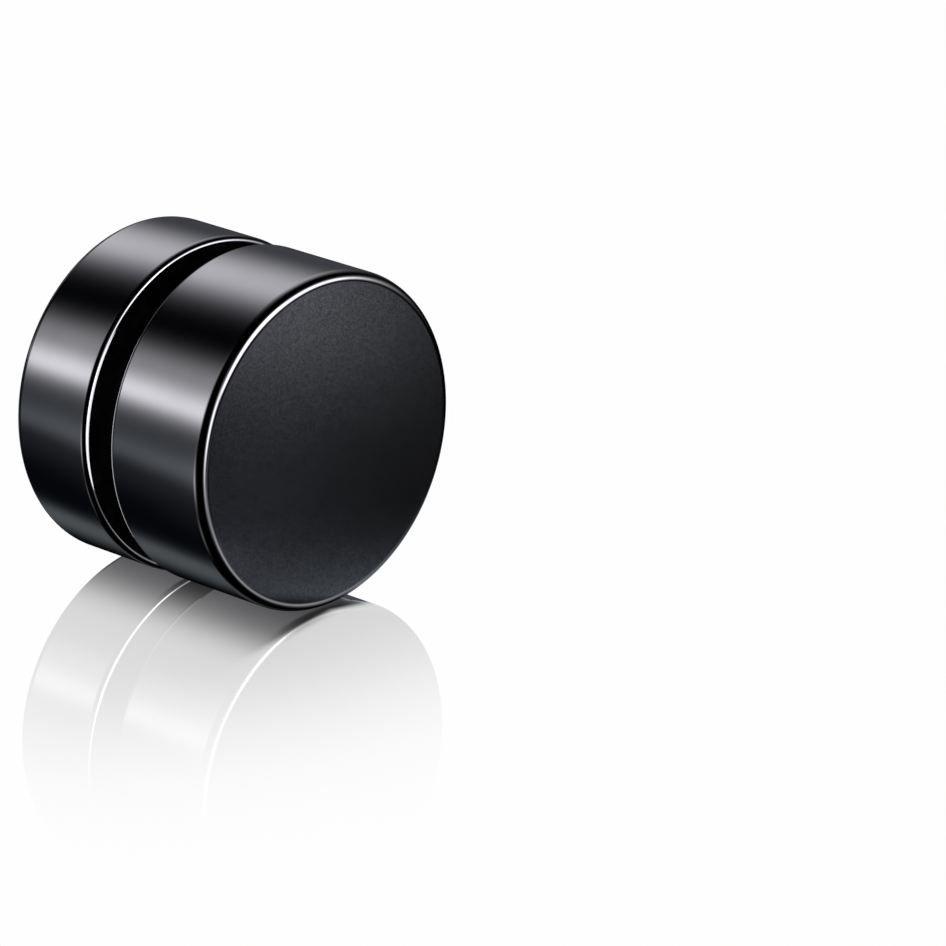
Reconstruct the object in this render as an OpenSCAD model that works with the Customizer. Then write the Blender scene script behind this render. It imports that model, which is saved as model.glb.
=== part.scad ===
// Magnetic stud earring: two cups with disc magnets that pull together through the earlobe.
// Both discs lie on their rims on z = 0 and share one axis along Y. The front face looks towards -Y.

/* [Discs] */
// Diameter of both discs
disc_d = 8; // [6:0.5:12]
// Thickness of the front disc
front_t = 3; // [2.4:0.1:5]
// Thickness of the back disc
back_t = 2.4; // [2.2:0.1:4]
// Gap between the two discs while they are closed
disc_gap = 0.8; // [0.4:0.1:1.2]
// Radius of the rounded rim round each outer face
face_rim_r = 0.25; // [0.1:0.05:0.4]
// Radius of the rounded rim on each side of the gap
gap_rim_r = 0.15; // [0.05:0.05:0.3]

/* [Magnets] */
// Diameter of both magnets
magnet_d = 5; // [3:0.5:5]
// Thickness of both magnets
magnet_t = 2; // [1.5:0.1:2]
// Width of the bevel on each magnet's edges
magnet_bevel = 0.15; // [0.05:0.05:0.3]

/* [Pockets] */
// Clearance round each magnet in its pocket
pocket_clear = 0.05; // [0.02:0.01:0.1]
// Thickness of the bond under each magnet
bond_t = 0.03; // [0.01:0.01:0.1]
// Width of the bevel round the mouth of each pocket
mouth_bevel = 0.1; // [0.05:0.05:0.2]
// Clearance between the two magnets while they are closed
meet_clear = 0.02; // [0.01:0.01:0.05]

/* [Hidden] */
$fn = 96;

disc_r = disc_d / 2;
magnet_r = magnet_d / 2;
pocket_r = magnet_r + pocket_clear;
// How far each magnet stands out of its disc, so that the two meet in the middle of the gap
magnet_proud = (disc_gap - meet_clear) / 2;
pocket_depth = magnet_t - magnet_proud + bond_t;
total_t = front_t + disc_gap + back_t;
front_face_y = -total_t / 2;
back_face_y = total_t / 2;
// A cutter starts this far outside the face that it opens
cut_over = 0.5;

// Half of a disc's section with both rims rounded, from its outer face at 0 to its inner face at t
module disc_section(t) {
    face_flat_r = disc_r - face_rim_r;
    gap_flat_r = disc_r - gap_rim_r;
    square([face_flat_r, t]);
    translate([0, face_rim_r]) square([gap_flat_r, t - face_rim_r]);
    translate([0, face_rim_r]) square([disc_r, t - face_rim_r - gap_rim_r]);
    translate([face_flat_r, face_rim_r]) circle(r = face_rim_r);
    translate([gap_flat_r, t - gap_rim_r]) circle(r = gap_rim_r);
}

// Half of the pocket's section, sunk into the inner face at t, with a bevelled mouth
module pocket_section(t) {
    mouth_r = pocket_r + mouth_bevel;
    polygon([
        [0, t - pocket_depth],
        [pocket_r, t - pocket_depth],
        [pocket_r, t - mouth_bevel],
        [mouth_r, t],
        [mouth_r, t + cut_over],
        [0, t + cut_over]
    ]);
}

// Half of a magnet's section with bevelled edges, from its bonded face at 0
module magnet_section() {
    polygon([
        [0, 0],
        [magnet_r - magnet_bevel, 0],
        [magnet_r, magnet_bevel],
        [magnet_r, magnet_t - magnet_bevel],
        [magnet_r - magnet_bevel, magnet_t],
        [0, magnet_t]
    ]);
}

// A cup along +Z: outer face at 0, inner face at t
module cup(t) {
    rotate_extrude() difference() {
        disc_section(t);
        pocket_section(t);
    }
}

// A magnet along +Z, in place in a cup of thickness t
module seated_magnet(t) {
    translate([0, 0, t - pocket_depth + bond_t]) rotate_extrude() magnet_section();
}

// Lays a shape that was turned about Z along +Y on the earring's axis, with its zero in the front face.
// The turned faces start and end at the rims' lowest line, so both halves are alike left and right of it.
module as_front() {
    translate([0, front_face_y, disc_r]) rotate([-90, 0, 0]) rotate([0, 0, 90]) children();
}

// The same along -Y, from the back face
module as_back() {
    translate([0, back_face_y, disc_r]) rotate([90, 0, 0]) rotate([0, 0, -90]) children();
}

module front_disc() {
    color([0.05, 0.05, 0.06]) as_front() cup(front_t);
}

module front_magnet() {
    color([0.3, 0.3, 0.32]) as_front() seated_magnet(front_t);
}

module back_disc() {
    color([0.05, 0.05, 0.06]) as_back() cup(back_t);
}

module back_magnet() {
    color([0.3, 0.3, 0.32]) as_back() seated_magnet(back_t);
}

front_disc();
front_magnet();
back_disc();
back_magnet();
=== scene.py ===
"""Looks of a magnetic stud earring: two black steel discs with magnets, on a pale floor in soft light."""

import logging
import math
from collections.abc import Callable
from dataclasses import dataclass
from enum import Enum

import bmesh
import bpy
from mathutils import Matrix, Vector

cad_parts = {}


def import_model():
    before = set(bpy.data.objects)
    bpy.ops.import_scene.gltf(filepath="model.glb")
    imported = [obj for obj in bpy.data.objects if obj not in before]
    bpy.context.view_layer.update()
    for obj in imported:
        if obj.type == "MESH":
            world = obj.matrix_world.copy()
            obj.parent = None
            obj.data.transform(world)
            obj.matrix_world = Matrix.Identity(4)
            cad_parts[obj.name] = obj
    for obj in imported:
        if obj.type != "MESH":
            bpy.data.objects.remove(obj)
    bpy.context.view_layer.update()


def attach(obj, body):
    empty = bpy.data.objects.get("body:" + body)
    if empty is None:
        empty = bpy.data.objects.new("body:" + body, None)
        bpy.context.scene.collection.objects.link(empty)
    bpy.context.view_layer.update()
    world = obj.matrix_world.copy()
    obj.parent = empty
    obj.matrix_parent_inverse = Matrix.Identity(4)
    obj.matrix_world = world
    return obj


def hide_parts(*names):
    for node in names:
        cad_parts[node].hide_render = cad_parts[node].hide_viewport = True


LOG = logging.getLogger("earring")

# One millimetre in metres, and the height of the discs' axis over the floor in millimetres
MM = 0.001
AXIS_Z = 4.0
# How round the discs and their rims are
SIDES = 256
RIM_SEGMENTS = 16
# How far a place may be off and still be the one that is looked for, in metres
NEAR = 1e-6
ON_AXIS = 1e-5
# A face whose normal's part along the axis is above this is flat
FLAT_FACING = 0.9999
# The range in which a noise pattern mostly lies
PATTERN_LOW = 0.3
PATTERN_HIGH = 0.7

# Tints of the lights, and the brightness of the white ground
WHITE = (1.0, 1.0, 1.0)
COOL = (0.95, 0.98, 1.07)
SKYLIGHT = (0.985, 0.990, 1.028)
DUSK = (0.78, 0.90, 1.32)
GREENISH = (0.91, 1.01, 1.06)
ASH = (0.960, 0.976, 1.050)
SLATE = (0.922, 0.974, 1.190)
SEA_GREY = (0.872, 0.998, 1.081)
STEEL_BLUE = (0.92, 0.98, 1.10)
FLOOR_WHITE = 0.991

Colour = tuple[float, float, float]
Point = tuple[float, float, float]
Term = float | bpy.types.NodeSocket


class Slot(Enum):
    """Names of the two material slots: the discs' black steel and the magnets' black nickel."""

    BLACK_STEEL = "black_steel"
    MAGNET_NICKEL = "magnet_nickel"


class Skin(Enum):
    """Which finish a face of a cup has, by its place in the piece's material slots."""

    POLISHED = 0
    SATIN = 1
    TURNED = 2


class Side(Enum):
    """Where a strip light hangs: over which range of the direction's part along the axis it fades in."""

    OVERHEAD = (-0.193, 0.527)
    BESIDE = (0.069, 0.551)


class Graph:
    """Lays nodes in one node tree and joins them."""

    def __init__(self, tree: bpy.types.NodeTree) -> None:
        """Clears the tree.

        Args:
            tree: The node tree of a material or of the world.
        """
        self.tree = tree
        tree.nodes.clear()

    def add(self, kind: str, **settings: object) -> bpy.types.Node:
        """Adds a node and sets its properties.

        Args:
            kind: The node's type name.
            **settings: Property names and values of the node.

        Returns:
            The new node.
        """
        node = self.tree.nodes.new(kind)
        for name, value in settings.items():
            setattr(node, name, value)
        return node

    def feed(self, socket: bpy.types.NodeSocket, value: object) -> None:
        """Joins a socket to an output, or sets the value on the socket itself.

        Args:
            socket: The input that is fed.
            value: An output socket, a number or a tuple of numbers.
        """
        if isinstance(value, bpy.types.NodeSocket):
            self.tree.links.new(value, socket)
        else:
            socket.default_value = value

    def math(self, operation: str, *values: Term) -> bpy.types.NodeSocket:
        """Adds a Math node.

        Args:
            operation: The operation's name, such as ADD.
            *values: Its inputs, each a number or an output.

        Returns:
            The node's result.
        """
        node = self.add("ShaderNodeMath", operation=operation)
        for socket, value in zip(node.inputs, values):
            self.feed(socket, value)
        return node.outputs[0]

    def vector(self, operation: str, *values: object) -> bpy.types.Node:
        """Adds a Vector Math node.

        Args:
            operation: The operation's name, such as DOT_PRODUCT.
            *values: Its vector inputs.

        Returns:
            The new node.
        """
        node = self.add("ShaderNodeVectorMath", operation=operation)
        for socket, value in zip(node.inputs, values):
            self.feed(socket, value)
        return node

    def scaled(self, vector: object, amount: Term) -> bpy.types.NodeSocket:
        """Multiplies a vector or colour by a number.

        Args:
            vector: The vector or colour.
            amount: The number.

        Returns:
            The product.
        """
        node = self.vector("SCALE", vector)
        self.feed(node.inputs["Scale"], amount)
        return node.outputs[0]

    def smooth(self, value: Term, low: float, high: float) -> bpy.types.NodeSocket:
        """Turns a number into a soft step.

        Args:
            value: The number.
            low: Where the step starts, at 0.
            high: Where it ends, at 1.

        Returns:
            The step's value, from 0 to 1.
        """
        node = self.add("ShaderNodeMapRange", interpolation_type="SMOOTHSTEP")
        for name, term in (("Value", value), ("From Min", low), ("From Max", high)):
            self.feed(node.inputs[name], term)
        return node.outputs["Result"]

    def bell(self, distance: Term) -> bpy.types.NodeSocket:
        """Returns exp(-distance squared), a soft bell of height 1."""
        return self.math("EXPONENT", self.math("MULTIPLY", self.math("MULTIPLY", distance, distance), -1.0))

    def oval(self, u: Term, w: Term) -> bpy.types.NodeSocket:
        """Returns exp(-(u squared + w squared)), a soft round bell of height 1."""
        square = self.math("MULTIPLY_ADD", u, u, self.math("MULTIPLY", w, w))
        return self.math("EXPONENT", self.math("MULTIPLY", square, -1.0))


@dataclass(frozen=True)
class StripLight:
    """A long soft strip light beside the earring, parallel to its axis.

    Angles are in degrees round the axis, from +X up towards +Z. in_mirror is the share of its strength that
    the steel shows where the floor mirrors it.
    """

    strength: float
    angle: float
    soft_before: float
    soft_after: float
    half_width: float
    side: Side = Side.BESIDE
    tint: Colour = WHITE
    in_mirror: float = 1.0

    def glow(self, graph: Graph, angle: Term, along: Term) -> bpy.types.NodeSocket:
        """Builds the light's strength in a direction.

        Args:
            graph: The world's nodes.
            angle: The direction's angle round the axis.
            along: The direction's part along the axis.

        Returns:
            The strength in that direction.
        """
        before = graph.math("MINIMUM", graph.math("SUBTRACT", angle, self.angle - self.half_width), 0.0)
        after = graph.math("MAXIMUM", graph.math("SUBTRACT", angle, self.angle + self.half_width), 0.0)
        before = graph.math("DIVIDE", before, self.soft_before)
        after = graph.math("DIVIDE", after, self.soft_after)
        distance = graph.math("ADD", before, after)
        fade = graph.smooth(along, *self.side.value)
        return graph.math("MULTIPLY", graph.math("MULTIPLY", graph.bell(distance), fade), self.strength)


@dataclass(frozen=True)
class FrontLight:
    """A soft oval light in front of the earring, as seen along its axis.

    Its middle and its sizes are parts of a unit direction, turn is in degrees, and limit caps its strength.
    in_mirror is the share of its strength that the steel shows where the floor mirrors it.
    """

    strength: float
    x: float
    z: float
    width: float
    height: float
    turn: float
    limit: float = 18.0
    in_mirror: float = 1.0

    def glow(self, graph: Graph, x: Term, z: Term) -> bpy.types.NodeSocket:
        """Builds the light's strength in a direction.

        Args:
            graph: The world's nodes.
            x: The direction's part along X.
            z: The direction's part along Z.

        Returns:
            The strength in that direction.
        """
        cosine, sine = math.cos(math.radians(self.turn)), math.sin(math.radians(self.turn))
        dx = graph.math("SUBTRACT", x, self.x)
        dz = graph.math("SUBTRACT", z, self.z)
        u = graph.math("MULTIPLY", dz, sine / self.width)
        u = graph.math("MULTIPLY_ADD", dx, cosine / self.width, u)
        w = graph.math("MULTIPLY", dx, -sine / self.height)
        w = graph.math("MULTIPLY_ADD", dz, cosine / self.height, w)
        return graph.math("MINIMUM", graph.math("MULTIPLY", graph.oval(u, w), self.strength), self.limit)


@dataclass(frozen=True)
class RoundLight:
    """A soft round light in one direction, with its radius in degrees."""

    strength: float
    towards: Point
    radius: float

    def glow(self, graph: Graph, direction: bpy.types.NodeSocket) -> bpy.types.NodeSocket:
        """Builds the light's strength in a direction.

        Args:
            graph: The world's nodes.
            direction: The direction, a unit vector.

        Returns:
            The strength in that direction.
        """
        towards = tuple(Vector(self.towards).normalized())
        cosine = graph.vector("DOT_PRODUCT", direction, towards).outputs["Value"]
        sharpness = 2.0 / math.radians(self.radius) ** 2
        power = graph.math("MULTIPLY", graph.math("SUBTRACT", cosine, 1.0), sharpness)
        return graph.math("MULTIPLY", graph.math("EXPONENT", power), self.strength)


@dataclass(frozen=True)
class Studio:
    """The soft studio round the earring, which its polished steel reflects.

    dim is the light of the bare room. The strips end over the range strips_end of the direction's part
    along the axis, past which past_end of them is left, and a black screen hides them where the black
    values say. The front lights come in over the range fronts_start. Rays that have bounced more than
    bounces times on shiny surfaces come by way of the floor. Angles round the axis count from first_angle.
    """

    dim: float = 0.004
    strips_end: tuple[float, float] = (0.73, 0.80)
    past_end: float = 0.15
    fronts_start: tuple[float, float] = (0.0, 0.3)
    black_towards: Point = (0.659, 0.682, -0.317)
    black_radius: float = 13.0
    black: float = 0.85
    bounces: float = 1.5
    first_angle: float = -40.0
    # Strength, angle, softness before and after it, half width
    strips: tuple[StripLight, ...] = (
        StripLight(0.0185, 130.0, 15.0, 15.0, 140.0, tint=DUSK),
        StripLight(0.09, -4.37, 8.51, 39.96, 8.0, tint=COOL),
        StripLight(4.48, 63.78, 24.3, 17.85, 0.0, Side.OVERHEAD, SKYLIGHT, in_mirror=0.2),
        StripLight(3.09, 149.59, 12.55, 15.46, 7.58),
        StripLight(7.61, 161.43, 11.23, 8.32, 0.0),
        StripLight(0.49, 181.14, 6.48, 13.37, 4.89, tint=GREENISH),
        StripLight(0.74, 201.28, 8.86, 7.27, 0.44, tint=GREENISH),
        StripLight(0.12, 216.27, 15.56, 13.71, 0.37, tint=GREENISH),
        StripLight(0.34, 279.42, 9.73, 17.35, 0.0, tint=GREENISH),
    )
    # Strength, middle in X and Z, width, height, turn
    fronts: tuple[FrontLight, ...] = (
        FrontLight(54.1, 0.489, 0.264, 0.124, 0.256, 64.2, in_mirror=0.2),
        FrontLight(280.0, 0.134, 0.295, 0.154, 0.141, 8.4),
        FrontLight(22.7, -0.18, -0.032, 0.28, 0.144, -74.1),
        FrontLight(4.62, 0.316, -0.545, 0.339, 0.117, -18.2),
    )
    # Strength, direction, radius: the three are seen everywhere, and mirror_round only by way of the floor
    rounds: tuple[RoundLight, ...] = (
        RoundLight(4.0, (-0.84, 0.40, -0.33), 11.0),
        RoundLight(1.2, (-0.52, 0.41, -0.74), 9.0),
        RoundLight(2.3, (0.65, -0.52, -0.54), 7.0),
    )
    mirror_round: RoundLight = RoundLight(18.0, (-0.28, -0.93, -0.20), 22.0)

    def build(self) -> None:
        """Makes the world: white to the camera and the floor, and a dark room with lights to the steel.

        The room is upside down to the steel as the floor mirrors it, so that the mirror shows the same
        lights.
        """
        world = bpy.data.worlds.new("studio")
        world.use_nodes = True
        world.cycles.sampling_method = "NONE"
        bpy.context.scene.world = world
        graph = Graph(world.node_tree)
        rays = graph.add("ShaderNodeLightPath")
        mirrored = graph.math("GREATER_THAN", rays.outputs["Glossy Depth"], self.bounces)
        flip = graph.add("ShaderNodeCombineXYZ")
        graph.feed(flip.inputs[0], 1.0)
        graph.feed(flip.inputs[1], 1.0)
        graph.feed(flip.inputs[2], graph.math("MULTIPLY_ADD", mirrored, -2.0, 1.0))
        seen = graph.add("ShaderNodeTexCoord").outputs["Generated"]
        direction = graph.vector("MULTIPLY", seen, flip.outputs[0]).outputs[0]
        parts = graph.add("ShaderNodeSeparateXYZ")
        graph.feed(parts.inputs[0], direction)
        x, y, z = parts.outputs
        angle = graph.math("DEGREES", graph.math("ARCTAN2", z, x))
        angle = graph.math("WRAP", angle, self.first_angle + 360.0, self.first_angle)
        total = graph.scaled(DUSK, self.dim)
        for strip in self.strips:
            share = graph.math("MULTIPLY_ADD", mirrored, strip.in_mirror - 1.0, 1.0)
            glow = graph.math("MULTIPLY", strip.glow(graph, angle, y), share)
            total = graph.vector("ADD", total, graph.scaled(strip.tint, glow)).outputs[0]
        past = graph.math("MULTIPLY_ADD", graph.smooth(y, *self.strips_end), self.past_end - 1.0, 1.0)
        black = RoundLight(-self.black, self.black_towards, self.black_radius).glow(graph, direction)
        total = graph.scaled(total, graph.math("MULTIPLY", past, graph.math("ADD", black, 1.0)))
        ahead = graph.smooth(graph.math("MULTIPLY", y, -1.0), *self.fronts_start)
        for front in self.fronts:
            share = graph.math("MULTIPLY_ADD", mirrored, front.in_mirror - 1.0, 1.0)
            glow = graph.math("MULTIPLY", front.glow(graph, x, z), graph.math("MULTIPLY", ahead, share))
            total = graph.vector("ADD", total, graph.scaled(WHITE, glow)).outputs[0]
        for light in self.rounds:
            total = graph.vector("ADD", total, graph.scaled(WHITE, light.glow(graph, direction))).outputs[0]
        glow = graph.math("MULTIPLY", self.mirror_round.glow(graph, direction), mirrored)
        total = graph.vector("ADD", total, graph.scaled(WHITE, glow)).outputs[0]
        plain = graph.math("MAXIMUM", rays.outputs["Is Camera Ray"], rays.outputs["Is Singular Ray"])
        room = graph.add("ShaderNodeBackground")
        graph.feed(room.inputs["Color"], total)
        sweep = graph.add("ShaderNodeBackground")
        graph.feed(sweep.inputs["Color"], (FLOOR_WHITE, FLOOR_WHITE, FLOOR_WHITE, 1.0))
        mix = graph.add("ShaderNodeMixShader")
        graph.feed(mix.inputs[0], plain)
        graph.feed(mix.inputs[1], room.outputs[0])
        graph.feed(mix.inputs[2], sweep.outputs[0])
        graph.feed(graph.add("ShaderNodeOutputWorld").inputs["Surface"], mix.outputs[0])


@dataclass(frozen=True)
class CardGlow:
    """A soft oval patch of light on a card, in millimetres along it and across it."""

    strength: float
    along: float
    across: float
    length: float
    width: float
    tint: Colour = STEEL_BLUE


@dataclass(frozen=True)
class FaceCard:
    """A softly lit card just under the floor, which only the steel sees, and which lights one satin face.

    It leads away from under the axis at foot_y, turn is its direction round Z in degrees, depth is how far
    it lies under the floor, and its light comes in over soft from start on. Sizes are in millimetres.
    """

    name: str = "front_card"
    foot_y: float = -3.1
    turn: float = -46.0
    length: float = 60.0
    width: float = 50.0
    start: float = 0.3
    soft: float = 0.9
    depth: float = 0.02
    # Strength, place along and across the card, length, width, tint
    glows: tuple[CardGlow, ...] = (
        CardGlow(1.33, 26.2, -1.18, 9.17, 3.91, ASH),
        CardGlow(2.95, -3.4, 4.5, 4.72, 5.81, SEA_GREY),
        CardGlow(0.80, 15.2, -8.03, 13.7, 1.81, ASH),
        CardGlow(0.151, 6.75, -1.85, 16.0, 2.17, SLATE),
        CardGlow(0.35, 3.2, -2.9, 1.6, 1.1, SLATE),
    )

    def build(self) -> bpy.types.Object:
        """Builds the card and its light.

        Returns:
            The card's object.
        """
        bpy.ops.mesh.primitive_plane_add(size=MM)
        card = bpy.context.object
        card.name = self.name
        half = self.width / 2
        corners = ((self.start, -half), (self.length, -half), (self.start, half), (self.length, half))
        for vertex, (reach, side) in zip(card.data.vertices, corners):
            vertex.co = (reach * MM, side * MM, 0.0)
        card.rotation_euler = (0.0, 0.0, math.radians(self.turn))
        card.location = (0.0, self.foot_y * MM, -self.depth * MM)
        material = bpy.data.materials.new("card_light")
        material.use_nodes = True
        graph = Graph(material.node_tree)
        place = graph.scaled(graph.add("ShaderNodeTexCoord").outputs["Object"], 1.0 / MM)
        parts = graph.add("ShaderNodeSeparateXYZ")
        graph.feed(parts.inputs[0], place)
        along, across = parts.outputs[0], parts.outputs[1]
        total: object = (0.0, 0.0, 0.0)
        for glow in self.glows:
            u = graph.math("DIVIDE", graph.math("SUBTRACT", along, glow.along), glow.length)
            w = graph.math("DIVIDE", graph.math("SUBTRACT", across, glow.across), glow.width)
            patch = graph.scaled(glow.tint, graph.math("MULTIPLY", graph.oval(u, w), glow.strength))
            total = graph.vector("ADD", total, patch).outputs[0]
        light = graph.add("ShaderNodeEmission")
        graph.feed(light.inputs["Color"], total)
        graph.feed(light.inputs["Strength"], graph.smooth(along, self.start, self.start + self.soft))
        both = graph.add("ShaderNodeAddShader")
        graph.feed(both.inputs[0], light.outputs[0])
        graph.feed(both.inputs[1], graph.add("ShaderNodeBsdfTransparent").outputs[0])
        graph.feed(graph.add("ShaderNodeOutputMaterial").inputs["Surface"], both.outputs[0])
        card.data.materials.append(material)
        card.visible_camera = card.visible_diffuse = card.visible_shadow = False
        card.visible_transmission = card.visible_volume_scatter = False
        return card


@dataclass(frozen=True)
class Floor:
    """The pale glossy floor. It mirrors the earring's foot, and the mirror fades out with distance.

    The mirror has a wide part and a stronger one at the contact, which cuts the floor's own light there and
    so paints the contact shadow. Each has its share, how far it fades to either side of the axis and past
    the ends front_y and back_y, and the powers that say how sharply. Sizes are in millimetres.
    """

    size: float = 4000.0
    mirror: float = 0.33
    fade: float = 9.8
    fade_end: float = 5.0
    # Share of the stronger mirror at the contact, which paints the contact shadow by cutting the floor's
    # own light
    contact: float = 0.65
    contact_fade: float = 2.95
    contact_end: float = 0.22
    contact_lean: float = 0.23
    fade_power: float = 3.0
    contact_power: float = 4.0
    end_power: float = 2.0
    front_y: float = -3.1
    back_y: float = 9.1

    def build(self) -> bpy.types.Object:
        """Builds the floor and its finish.

        Returns:
            The floor's object.
        """
        bpy.ops.mesh.primitive_plane_add(size=self.size * MM)
        floor = bpy.context.object
        floor.name = "floor"
        material = bpy.data.materials.new("pale_floor")
        material.use_nodes = True
        graph = Graph(material.node_tree)
        place = graph.scaled(graph.add("ShaderNodeTexCoord").outputs["Object"], 1.0 / MM)
        parts = graph.add("ShaderNodeSeparateXYZ")
        graph.feed(parts.inputs[0], place)
        x, y = parts.outputs[0], parts.outputs[1]
        ahead = graph.math("MAXIMUM", graph.math("SUBTRACT", self.front_y, y), 0.0)
        behind = graph.math("MAXIMUM", graph.math("SUBTRACT", y, self.back_y), 0.0)
        past = graph.math("ADD", ahead, behind)
        aside = graph.math("ABSOLUTE", x)
        far = self._fall(graph, aside, past, self.fade, self.fade_end, self.fade_power)
        mirror = graph.math("MULTIPLY", far, self.mirror)
        # Painted contact shadow: a stronger mirror near the foot, which cuts the floor's own white light
        # there
        past = graph.math("MAXIMUM", graph.math("MULTIPLY_ADD", aside, -self.contact_lean, past), 0.0)
        contact_shade = self._fall(graph, aside, past, self.contact_fade, self.contact_end, self.contact_power)
        mirror = graph.math("MULTIPLY_ADD", contact_shade, self.contact, mirror)
        gloss = graph.add("ShaderNodeBsdfGlossy")
        graph.feed(gloss.inputs["Color"], (*WHITE, 1.0))
        graph.feed(gloss.inputs["Roughness"], 0.0)
        light = graph.add("ShaderNodeEmission")
        graph.feed(light.inputs["Strength"], FLOOR_WHITE)
        top = graph.add("ShaderNodeMixShader")
        graph.feed(top.inputs[0], mirror)
        graph.feed(top.inputs[1], light.outputs[0])
        graph.feed(top.inputs[2], gloss.outputs[0])
        under = graph.add("ShaderNodeMixShader")
        graph.feed(under.inputs[0], graph.add("ShaderNodeNewGeometry").outputs["Backfacing"])
        graph.feed(under.inputs[1], top.outputs[0])
        graph.feed(under.inputs[2], graph.add("ShaderNodeBsdfTransparent").outputs[0])
        graph.feed(graph.add("ShaderNodeOutputMaterial").inputs["Surface"], under.outputs[0])
        floor.data.materials.append(material)
        floor.visible_glossy = floor.visible_shadow = False
        return floor

    def _fall(
        self, graph: Graph, aside: Term, past: Term, reach: float, end: float, power: float
    ) -> bpy.types.NodeSocket:
        """Builds how the mirror fades with distance from the line that the earring stands on.

        Args:
            graph: The floor's nodes.
            aside: The distance to either side of the line.
            past: The distance past the line's ends.
            reach: How far it fades to either side, in millimetres.
            end: How far it fades past the ends, in millimetres.
            power: How sharply it ends to either side.

        Returns:
            The fade, 1 on the line.
        """
        beside = graph.math("POWER", graph.math("DIVIDE", aside, reach), power)
        beyond = graph.math("POWER", graph.math("DIVIDE", past, end), self.end_power)
        return graph.math("EXPONENT", graph.math("MULTIPLY", graph.math("ADD", beside, beyond), -1.0))


@dataclass(frozen=True)
class RimLight:
    """A softbox that lights only one piece, which nothing else shades. Sizes are in millimetres."""

    name: str
    piece: str
    towards: Point
    target: Point
    width: float
    height: float
    radiance: float
    distance: float = 60.0

    def build(self) -> bpy.types.Object:
        """Builds the light.

        Returns:
            The light's object.
        """
        data = bpy.data.lights.new(self.name, "AREA")
        data.shape = "ELLIPSE"
        data.size = self.width * MM
        data.size_y = self.height * MM
        data.energy = self.radiance * math.pi * data.size * data.size_y * math.pi / 4
        light = bpy.data.objects.new(self.name, data)
        bpy.context.scene.collection.objects.link(light)
        away = Vector(self.towards).normalized()
        light.location = (Vector(self.target) + away * self.distance) * MM
        light.rotation_euler = away.to_track_quat("Z", "Y").to_euler()
        light.visible_camera = False
        lit = bpy.data.collections.new(self.name + "_lit")
        lit.objects.link(bpy.data.objects[self.piece])
        light.light_linking.receiver_collection = lit
        light.light_linking.blocker_collection = lit
        return light


@dataclass(frozen=True)
class PhotoCamera:
    """The camera at the photograph's angle.

    Pixels are of its square frame, from the top left, and target_px is where the target shows. back is the
    direction from the target to the camera. The clip distances are in metres, and the target and the
    distance to it in millimetres.
    """

    target: Point = (0.0, 0.0, AXIS_Z)
    back: Point = (-0.65875719, -0.68240135, 0.31680807)
    distance: float = 134.676
    lens: float = 222.1407
    frame_px: float = 946.0
    target_px: tuple[float, float] = (233.23, 411.91)
    clip: tuple[float, float] = (0.005, 50.0)

    def build(self) -> bpy.types.Object:
        """Places the camera and makes it the scene's own.

        Returns:
            The camera's object.
        """
        data = bpy.data.cameras.new("photo_camera")
        data.lens = self.lens
        data.clip_start, data.clip_end = self.clip
        camera = bpy.data.objects.new("photo_camera", data)
        bpy.context.scene.collection.objects.link(camera)
        back = Vector(self.back).normalized()
        right = Vector((0.0, 0.0, 1.0)).cross(back).normalized()
        straight = Matrix((right, back.cross(right), back)).transposed().to_quaternion()
        focal_px = self.lens / data.sensor_width * self.frame_px
        middle = self.frame_px / 2
        across, down = self.target_px
        aside = Vector(((across - middle) / focal_px, (middle - down) / focal_px, -1.0))
        turn = aside.rotation_difference(Vector((0.0, 0.0, -1.0)))
        place = (Vector(self.target) + back * self.distance) * MM
        camera.matrix_world = Matrix.LocRotScale(place, straight @ turn, None)
        bpy.context.scene.camera = camera
        return camera


def object_place(graph: Graph) -> bpy.types.NodeSocket:
    """Gives a piece's own coordinates in millimetres, with zero on the earring's axis.

    Args:
        graph: The material's nodes.

    Returns:
        The place as a vector.
    """
    mapping = graph.add("ShaderNodeMapping")
    graph.feed(mapping.inputs["Vector"], graph.add("ShaderNodeTexCoord").outputs["Object"])
    graph.feed(mapping.inputs["Scale"], (1.0 / MM, 1.0 / MM, 1.0 / MM))
    graph.feed(mapping.inputs["Location"], (0.0, 0.0, -AXIS_Z))
    return mapping.outputs[0]


def noise(graph: Graph, place: Term, size: float, detail: float = 3.0) -> bpy.types.NodeSocket:
    """Adds a noise pattern.

    Args:
        graph: The material's nodes.
        place: Where the pattern is read, in millimetres.
        size: The size of its features in millimetres.
        detail: How many finer layers it has.

    Returns:
        The pattern, from 0 to 1 about 0.5.
    """
    node = graph.add("ShaderNodeTexNoise")
    graph.feed(node.inputs["Vector"], place)
    graph.feed(node.inputs["Scale"], 1.0 / size)
    graph.feed(node.inputs["Detail"], detail)
    return node.outputs["Fac"]


def rings(graph: Graph, place: Term, size: float, detail: float = 3.0) -> bpy.types.NodeSocket:
    """Adds uneven concentric rings round the earring's axis.

    Args:
        graph: The material's nodes.
        place: Where the pattern is read, in millimetres.
        size: The width of one ring in millimetres.
        detail: How many finer layers it has.

    Returns:
        The pattern, from 0 to 1 about 0.5.
    """
    flat = graph.vector("MULTIPLY", place, (1.0, 0.0, 1.0)).outputs[0]
    radius = graph.vector("LENGTH", flat).outputs["Value"]
    node = graph.add("ShaderNodeTexNoise", noise_dimensions="1D")
    graph.feed(node.inputs["W"], radius)
    graph.feed(node.inputs["Scale"], 1.0 / size)
    graph.feed(node.inputs["Detail"], detail)
    return node.outputs["Fac"]


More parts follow.
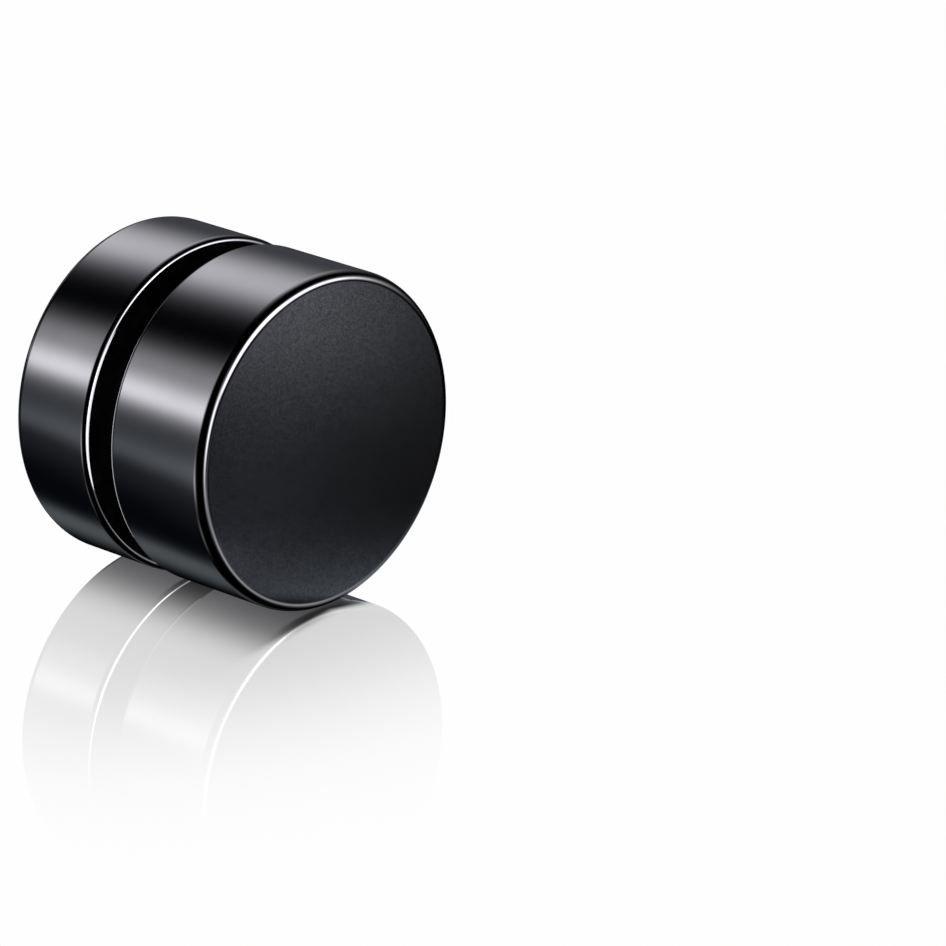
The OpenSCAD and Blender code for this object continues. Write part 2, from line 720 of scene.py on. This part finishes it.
def spread(graph: Graph, value: Term, low: float = 0.0, high: float = 1.0) -> bpy.types.NodeSocket:
    """Maps a pattern's usual range, PATTERN_LOW to PATTERN_HIGH, to another.

    Args:
        graph: The material's nodes.
        value: The pattern.
        low: The new value at PATTERN_LOW.
        high: The new value at PATTERN_HIGH.

    Returns:
        The mapped value.
    """
    node = graph.add("ShaderNodeMapRange")
    graph.feed(node.inputs["Value"], value)
    graph.feed(node.inputs["From Min"], PATTERN_LOW)
    graph.feed(node.inputs["From Max"], PATTERN_HIGH)
    graph.feed(node.inputs["To Min"], low)
    graph.feed(node.inputs["To Max"], high)
    return node.outputs["Result"]


def tone(graph: Graph, pattern: Term, dark: Colour, light: Colour) -> bpy.types.NodeSocket:
    """Mixes two tones of a metal by a pattern.

    Args:
        graph: The material's nodes.
        pattern: The pattern.
        dark: The colour where the pattern is low.
        light: The colour where it is high.

    Returns:
        The mixed colour.
    """
    mix = graph.add("ShaderNodeMix", data_type="RGBA")
    graph.feed(mix.inputs[0], spread(graph, pattern))
    graph.feed(mix.inputs[6], (*dark, 1.0))
    graph.feed(mix.inputs[7], (*light, 1.0))
    return mix.outputs[2]


def relief(graph: Graph, height: Term, depth: float) -> bpy.types.NodeSocket:
    """Adds a bump.

    Args:
        graph: The material's nodes.
        height: The pattern that raises the surface.
        depth: How deep it is in millimetres.

    Returns:
        The bumped normal.
    """
    node = graph.add("ShaderNodeBump")
    graph.feed(node.inputs["Height"], height)
    graph.feed(node.inputs["Distance"], depth * MM)
    graph.feed(node.inputs["Strength"], 1.0)
    return node.outputs["Normal"]


def metal(name: str, fill: Callable[[Graph, bpy.types.Node], None]) -> bpy.types.Material:
    """Makes a metal material.

    Args:
        name: The material's name.
        fill: Fills in the shader's other sockets.

    Returns:
        The material.
    """
    material = bpy.data.materials.new(name)
    material.use_nodes = True
    graph = Graph(material.node_tree)
    shader = graph.add("ShaderNodeBsdfPrincipled")
    graph.feed(shader.inputs["Metallic"], 1.0)
    fill(graph, shader)
    graph.feed(graph.add("ShaderNodeOutputMaterial").inputs["Surface"], shader.outputs[0])
    return material


@dataclass(frozen=True)
class PolishedSteel:
    """Mirror-polished steel under black ion plating, with the faint haze and hairlines of the polish."""

    dark: Colour = (0.0565, 0.0560, 0.0600)
    light: Colour = (0.0615, 0.0605, 0.0650)
    smooth: float = 0.04
    hazy: float = 0.06
    cloud: float = 1.3
    hairline: float = 0.2
    hairline_stretch: Point = (0.12, 6.0, 0.12)
    hairline_share: float = 0.4

    def build(self) -> bpy.types.Material:
        """Returns the material."""
        return metal("polished_black_steel", self._fill)

    def _fill(self, graph: Graph, shader: bpy.types.Node) -> None:
        """Fills in the shader.

        Args:
            graph: The material's nodes.
            shader: The metal's shader.
        """
        place = object_place(graph)
        cloud = noise(graph, place, self.cloud)
        graph.feed(shader.inputs["Base Color"], tone(graph, cloud, self.dark, self.light))
        stretched = graph.vector("MULTIPLY", place, self.hairline_stretch).outputs[0]
        lines = noise(graph, stretched, self.hairline)
        haze = graph.math("MULTIPLY", cloud, 1.0 - self.hairline_share)
        haze = graph.math("MULTIPLY_ADD", lines, self.hairline_share, haze)
        graph.feed(shader.inputs["Roughness"], spread(graph, haze, self.smooth, self.hazy))


@dataclass(frozen=True)
class SatinSteel:
    """The fine satin of a lapped face under the same plating: a small even grain."""

    dark: Colour = (0.0410, 0.0417, 0.0443)
    light: Colour = (0.0815, 0.0829, 0.0877)
    smooth: float = 0.125
    hazy: float = 0.15
    grain: float = 0.052
    grain_detail: float = 2.0
    haze: float = 0.5
    depth: float = 0.0003

    def build(self) -> bpy.types.Material:
        """Returns the material."""
        return metal("satin_black_steel", self._fill)

    def _fill(self, graph: Graph, shader: bpy.types.Node) -> None:
        """Fills in the shader.

        Args:
            graph: The material's nodes.
            shader: The metal's shader.
        """
        place = object_place(graph)
        grain = noise(graph, place, self.grain, self.grain_detail)
        haze = noise(graph, place, self.haze)
        graph.feed(shader.inputs["Base Color"], tone(graph, grain, self.dark, self.light))
        graph.feed(shader.inputs["Roughness"], spread(graph, haze, self.smooth, self.hazy))
        graph.feed(shader.inputs["Normal"], relief(graph, grain, self.depth))


@dataclass(frozen=True)
class TurnedSteel:
    """Steel as the lathe left it in the gap and pocket: fine uneven rings under plating, darkened as
    painted shade.
    """

    # A tone darker than the outer steel's: painted shade in the gap and the pocket, with the rings' real
    # variation
    dark: Colour = (0.030, 0.030, 0.034)
    light: Colour = (0.048, 0.048, 0.053)
    smooth: float = 0.10
    hazy: float = 0.16
    ring: float = 0.06
    haze: float = 0.4
    depth: float = 0.0003

    def build(self) -> bpy.types.Material:
        """Returns the material."""
        return metal("turned_black_steel", self._fill)

    def _fill(self, graph: Graph, shader: bpy.types.Node) -> None:
        """Fills in the shader.

        Args:
            graph: The material's nodes.
            shader: The metal's shader.
        """
        place = object_place(graph)
        groove = rings(graph, place, self.ring)
        haze = noise(graph, place, self.haze)
        graph.feed(shader.inputs["Base Color"], tone(graph, groove, self.dark, self.light))
        graph.feed(shader.inputs["Roughness"], spread(graph, haze, self.smooth, self.hazy))
        graph.feed(shader.inputs["Normal"], relief(graph, groove, self.depth))


@dataclass(frozen=True)
class BlackNickel:
    """Barrel-plated black nickel on a sintered magnet: satin, with a fine pebble and faint clouds."""

    dark: Colour = (0.110, 0.109, 0.116)
    light: Colour = (0.136, 0.135, 0.143)
    smooth: float = 0.27
    hazy: float = 0.33
    cloud: float = 0.8
    cloud_detail: float = 4.0
    pebble: float = 0.045
    pebble_detail: float = 2.0
    depth: float = 0.0010

    def build(self) -> bpy.types.Material:
        """Returns the material."""
        return metal("black_nickel", self._fill)

    def _fill(self, graph: Graph, shader: bpy.types.Node) -> None:
        """Fills in the shader.

        Args:
            graph: The material's nodes.
            shader: The metal's shader.
        """
        place = object_place(graph)
        cloud = noise(graph, place, self.cloud, self.cloud_detail)
        pebble = noise(graph, place, self.pebble, self.pebble_detail)
        graph.feed(shader.inputs["Base Color"], tone(graph, cloud, self.dark, self.light))
        graph.feed(shader.inputs["Roughness"], spread(graph, cloud, self.smooth, self.hazy))
        graph.feed(shader.inputs["Normal"], relief(graph, pebble, self.depth))


def pick(select_edges: bool, test: Callable[[Vector, Vector], bool]) -> None:
    """Selects the faces or edges of the mesh in edit mode that pass a test, and nothing else.

    Args:
        select_edges: Whether edges are selected, and otherwise faces.
        test: Takes an edge's two ends, or a face's middle and normal, in metres.
    """
    mesh = bpy.context.edit_object.data
    bpy.ops.mesh.select_mode(type="EDGE" if select_edges else "FACE")
    bpy.ops.mesh.select_all(action="DESELECT")
    form = bmesh.from_edit_mesh(mesh)
    if select_edges:
        for edge in form.edges:
            edge.select_set(test(edge.verts[0].co, edge.verts[1].co))
    else:
        for face in form.faces:
            face.select_set(test(face.calc_center_median(), face.normal))
    bmesh.update_edit_mesh(mesh)


def off_axis(place: Vector) -> float:
    """Returns how far a place is from the discs' axis, in metres."""
    return math.hypot(place.x, place.z - AXIS_Z * MM)


def pick_ring(radius: float, y: float) -> None:
    """Selects a ring of edges round the axis.

    Args:
        radius: The ring's radius in millimetres.
        y: Its place along Y in millimetres.
    """

    def is_on(end: Vector) -> bool:
        """Returns whether one end of an edge is on the ring."""
        return abs(off_axis(end) - radius * MM) < NEAR and abs(end.y - y * MM) < NEAR

    def on_ring(start: Vector, end: Vector) -> bool:
        """Returns whether both ends of an edge are on the ring."""
        return is_on(start) and is_on(end)

    pick(True, on_ring)


def pick_cap(y: float, facing: float) -> None:
    """Selects the flat round face that closes a drum or the floor of a pocket.

    Args:
        y: The face's place along Y in millimetres.
        facing: 1 where it looks towards +Y, and -1 where it looks towards -Y.
    """

    def is_cap(middle: Vector, normal: Vector) -> bool:
        """Returns whether a face is the cap."""
        is_there = abs(middle.y - y * MM) < NEAR and off_axis(middle) < ON_AXIS
        return is_there and normal.y * facing > FLAT_FACING

    pick(False, is_cap)


def add_drum(name: str, radius: float, low_y: float, high_y: float) -> bpy.types.Object:
    """Adds a closed drum along Y on the earring's axis and leaves it in edit mode.

    Args:
        name: The object's name.
        radius: Its radius in millimetres.
        low_y: The place of its end towards -Y, in millimetres.
        high_y: The place of its end towards +Y, in millimetres.

    Returns:
        The drum, with its object at the origin.
    """
    bpy.ops.object.select_all(action="DESELECT")
    bpy.ops.mesh.primitive_cylinder_add(
        vertices=SIDES,
        radius=radius * MM,
        depth=(high_y - low_y) * MM,
        location=(0.0, (low_y + high_y) / 2 * MM, AXIS_Z * MM),
        rotation=(math.pi / 2, 0.0, 0.0),
    )
    drum = bpy.context.object
    drum.name = name
    bpy.ops.object.transform_apply(location=True, rotation=True, scale=True)
    bpy.ops.object.mode_set(mode="EDIT")
    return drum


def smooth_off(piece: bpy.types.Object, angle: float = 35.0, flatness: int = 100) -> None:
    """Leaves edit mode and shades the piece smooth, with its flat faces kept flat.

    Args:
        piece: The piece, in edit mode.
        angle: The angle in degrees past which an edge stays sharp.
        flatness: How much large faces draw the shading to themselves, from 1 to 100.
    """
    bpy.ops.mesh.select_all(action="SELECT")
    bpy.ops.mesh.normals_make_consistent(inside=False)
    bpy.ops.object.mode_set(mode="OBJECT")
    bpy.ops.object.shade_smooth_by_angle(angle=math.radians(angle))
    weigh = piece.modifiers.new("flat_faces", "WEIGHTED_NORMAL")
    weigh.keep_sharp = True
    weigh.weight = flatness
    bpy.ops.object.modifier_apply(modifier=weigh.name)
    bpy.ops.object.select_all(action="DESELECT")


@dataclass(frozen=True)
class Magnet:
    """A bevelled disc magnet. Sizes are in millimetres."""

    name: str
    body: str
    low_y: float
    radius: float = 2.5
    thickness: float = 2.0
    bevel: float = 0.15
    soften: float = 0.03
    soften_segments: int = 4

    def build(self, finish: bpy.types.Material) -> bpy.types.Object:
        """Builds and dresses the magnet.

        Args:
            finish: Its plating.

        Returns:
            The magnet's object.
        """
        high_y = self.low_y + self.thickness
        magnet = add_drum(self.name + "_plated", self.radius, self.low_y, high_y)
        for y in (self.low_y, high_y):
            pick_ring(self.radius, y)
            bpy.ops.mesh.bevel(offset=self.bevel * MM, segments=1, affect="EDGES")
        inner = self.radius - self.bevel
        for radius, y in (
            (inner, self.low_y),
            (self.radius, self.low_y + self.bevel),
            (self.radius, high_y - self.bevel),
            (inner, high_y),
        ):
            pick_ring(radius, y)
            bpy.ops.mesh.bevel(offset=self.soften * MM, segments=self.soften_segments, affect="EDGES")
        for y, facing in ((self.low_y, -1.0), (high_y, 1.0)):
            pick_cap(y, facing)
            bpy.ops.mesh.inset(thickness=self.soften * MM)
        smooth_off(magnet)
        magnet.data.materials.append(finish)
        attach(magnet, self.body)
        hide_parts(self.name)
        return magnet


@dataclass(frozen=True)
class Cup:
    """A steel disc with a magnet pocket in its inner face. Sizes are in millimetres.

    facing is -1 where the outer face looks towards -Y, and 1 where it looks towards +Y.
    """

    name: str
    body: str
    facing: float
    outer_y: float
    inner_y: float
    radius: float = 4.0
    face_rim: float = 0.25
    gap_rim: float = 0.15
    rim_profile: float = 0.5
    pocket_radius: float = 2.55
    mouth_bevel: float = 0.1
    pocket_depth: float = 1.64
    soften: float = 0.02
    soften_segments: int = 3
    steps: tuple[float, float] = (0.02, 0.1)

    def build(self, finishes: dict[Skin, bpy.types.Material]) -> bpy.types.Object:
        """Builds and dresses the cup.

        Args:
            finishes: The finish of each kind of face.

        Returns:
            The cup's object.
        """
        cup = add_drum(self.name + "_plated", self.radius, *sorted((self.outer_y, self.inner_y)))
        self._round_rims()
        self._sink_pocket()
        self._brace_face()
        smooth_off(cup)
        for skin in Skin:
            cup.data.materials.append(finishes[skin])
        for face in cup.data.polygons:
            face.material_index = self._skin(face.center, face.normal).value
        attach(cup, self.body)
        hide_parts(self.name)
        return cup

    def _round_rims(self) -> None:
        """Rounds the rim round the outer face and the smaller one at the gap."""
        for y, rim in ((self.outer_y, self.face_rim), (self.inner_y, self.gap_rim)):
            pick_ring(self.radius, y)
            bpy.ops.mesh.bevel(
                offset=rim * MM, segments=RIM_SEGMENTS, profile=self.rim_profile, affect="EDGES"
            )

    def _sink_pocket(self) -> None:
        """Sinks the magnet's pocket into the inner face, with a bevelled and softened mouth."""
        mouth_radius = self.pocket_radius + self.mouth_bevel
        pick_cap(self.inner_y, -self.facing)
        bpy.ops.mesh.inset(thickness=self.soften * MM)
        bpy.ops.mesh.inset(thickness=(self.radius - self.gap_rim - self.soften - mouth_radius) * MM)
        bpy.ops.mesh.inset(thickness=self.mouth_bevel * MM, depth=-self.mouth_bevel * MM)
        sink = (self.pocket_depth - self.mouth_bevel) * self.facing * MM
        bpy.ops.mesh.extrude_region_move(TRANSFORM_OT_translate={"value": (0.0, sink, 0.0)})
        bpy.ops.mesh.inset(thickness=self.soften * MM)
        for radius, y in (
            (mouth_radius, self.inner_y),
            (self.pocket_radius, self.inner_y + self.facing * self.mouth_bevel),
        ):
            pick_ring(radius, y)
            bpy.ops.mesh.bevel(offset=self.soften * MM, segments=self.soften_segments, affect="EDGES")

    def _brace_face(self) -> None:
        """Adds rings inside the outer face, which keep its shading flat up to the rim."""
        pick_cap(self.outer_y, self.facing)
        for step in self.steps:
            bpy.ops.mesh.inset(thickness=step * MM)

    def _skin(self, middle: Vector, normal: Vector) -> Skin:
        """Chooses the finish of a face.

        Args:
            middle: The face's middle, in metres.
            normal: The face's normal.

        Returns:
            The face's finish.
        """
        outward = normal.y * self.facing
        if outward > FLAT_FACING and abs(middle.y - self.outer_y * MM) < NEAR:
            return Skin.SATIN
        past_flat = (middle.y - self.inner_y * MM) * self.facing > -NEAR
        pocket_edge = (self.pocket_radius + self.mouth_bevel + self.soften) * MM
        in_pocket = past_flat and off_axis(middle) < pocket_edge
        on_flat = -outward > FLAT_FACING
        return Skin.TURNED if in_pocket or on_flat else Skin.POLISHED


def main() -> None:
    """Builds the earring's pieces, its floor, lights and camera."""
    logging.basicConfig(level=logging.INFO, format="%(name)s: %(message)s")
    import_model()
    bpy.ops.object.select_all(action="DESELECT")
    finishes = {
        Skin.POLISHED: PolishedSteel().build(),
        Skin.SATIN: SatinSteel().build(),
        Skin.TURNED: TurnedSteel().build(),
    }
    plating = BlackNickel().build()
    cups = (
        Cup("front_disc", "front_half", facing=-1.0, outer_y=-3.1, inner_y=-0.1),
        Cup("back_disc", "back_half", facing=1.0, outer_y=3.1, inner_y=0.7),
    )
    magnets = (
        Magnet("front_magnet", "front_half", low_y=-1.71),
        Magnet("back_magnet", "back_half", low_y=0.31),
    )
    for cup in cups:
        piece = cup.build(finishes)
        LOG.info("%s: %d faces", piece.name, len(piece.data.polygons))
    for magnet in magnets:
        piece = magnet.build(plating)
        LOG.info("%s: %d faces", piece.name, len(piece.data.polygons))
    LOG.info("floor: %s", Floor().build().name)
    rim_lights = (
        RimLight(
            "back_rim_light",
            piece="back_disc_plated",
            towards=(-0.05, -0.98, -0.20),
            target=(-3.9, 0.8, AXIS_Z),
            width=58.0,
            height=45.0,
            radiance=14.5,
        ),
        RimLight(
            "gap_edge_light",
            piece="front_disc_plated",
            towards=(0.11, 0.95, -0.31),
            target=(-3.9, -0.2, AXIS_Z),
            width=48.0,
            height=50.0,
            radiance=1.3,
        ),
    )
    for light in rim_lights:
        LOG.info("light: %s", light.build().name)
    back_glow = CardGlow(0.85, along=13.0, across=-7.5, length=5.5, width=10.0)
    back_card = FaceCard(
        "back_card", foot_y=3.1, turn=90.0, width=90.0, start=2.5, soft=3.0, glows=(back_glow,)
    )
    for card in (FaceCard(), back_card):
        LOG.info("card: %s", card.build().name)
    Studio().build()
    LOG.info("camera: %s", PhotoCamera().build().name)
    bpy.context.scene.view_settings.view_transform = "Standard"


if __name__ == "__main__":
    main()
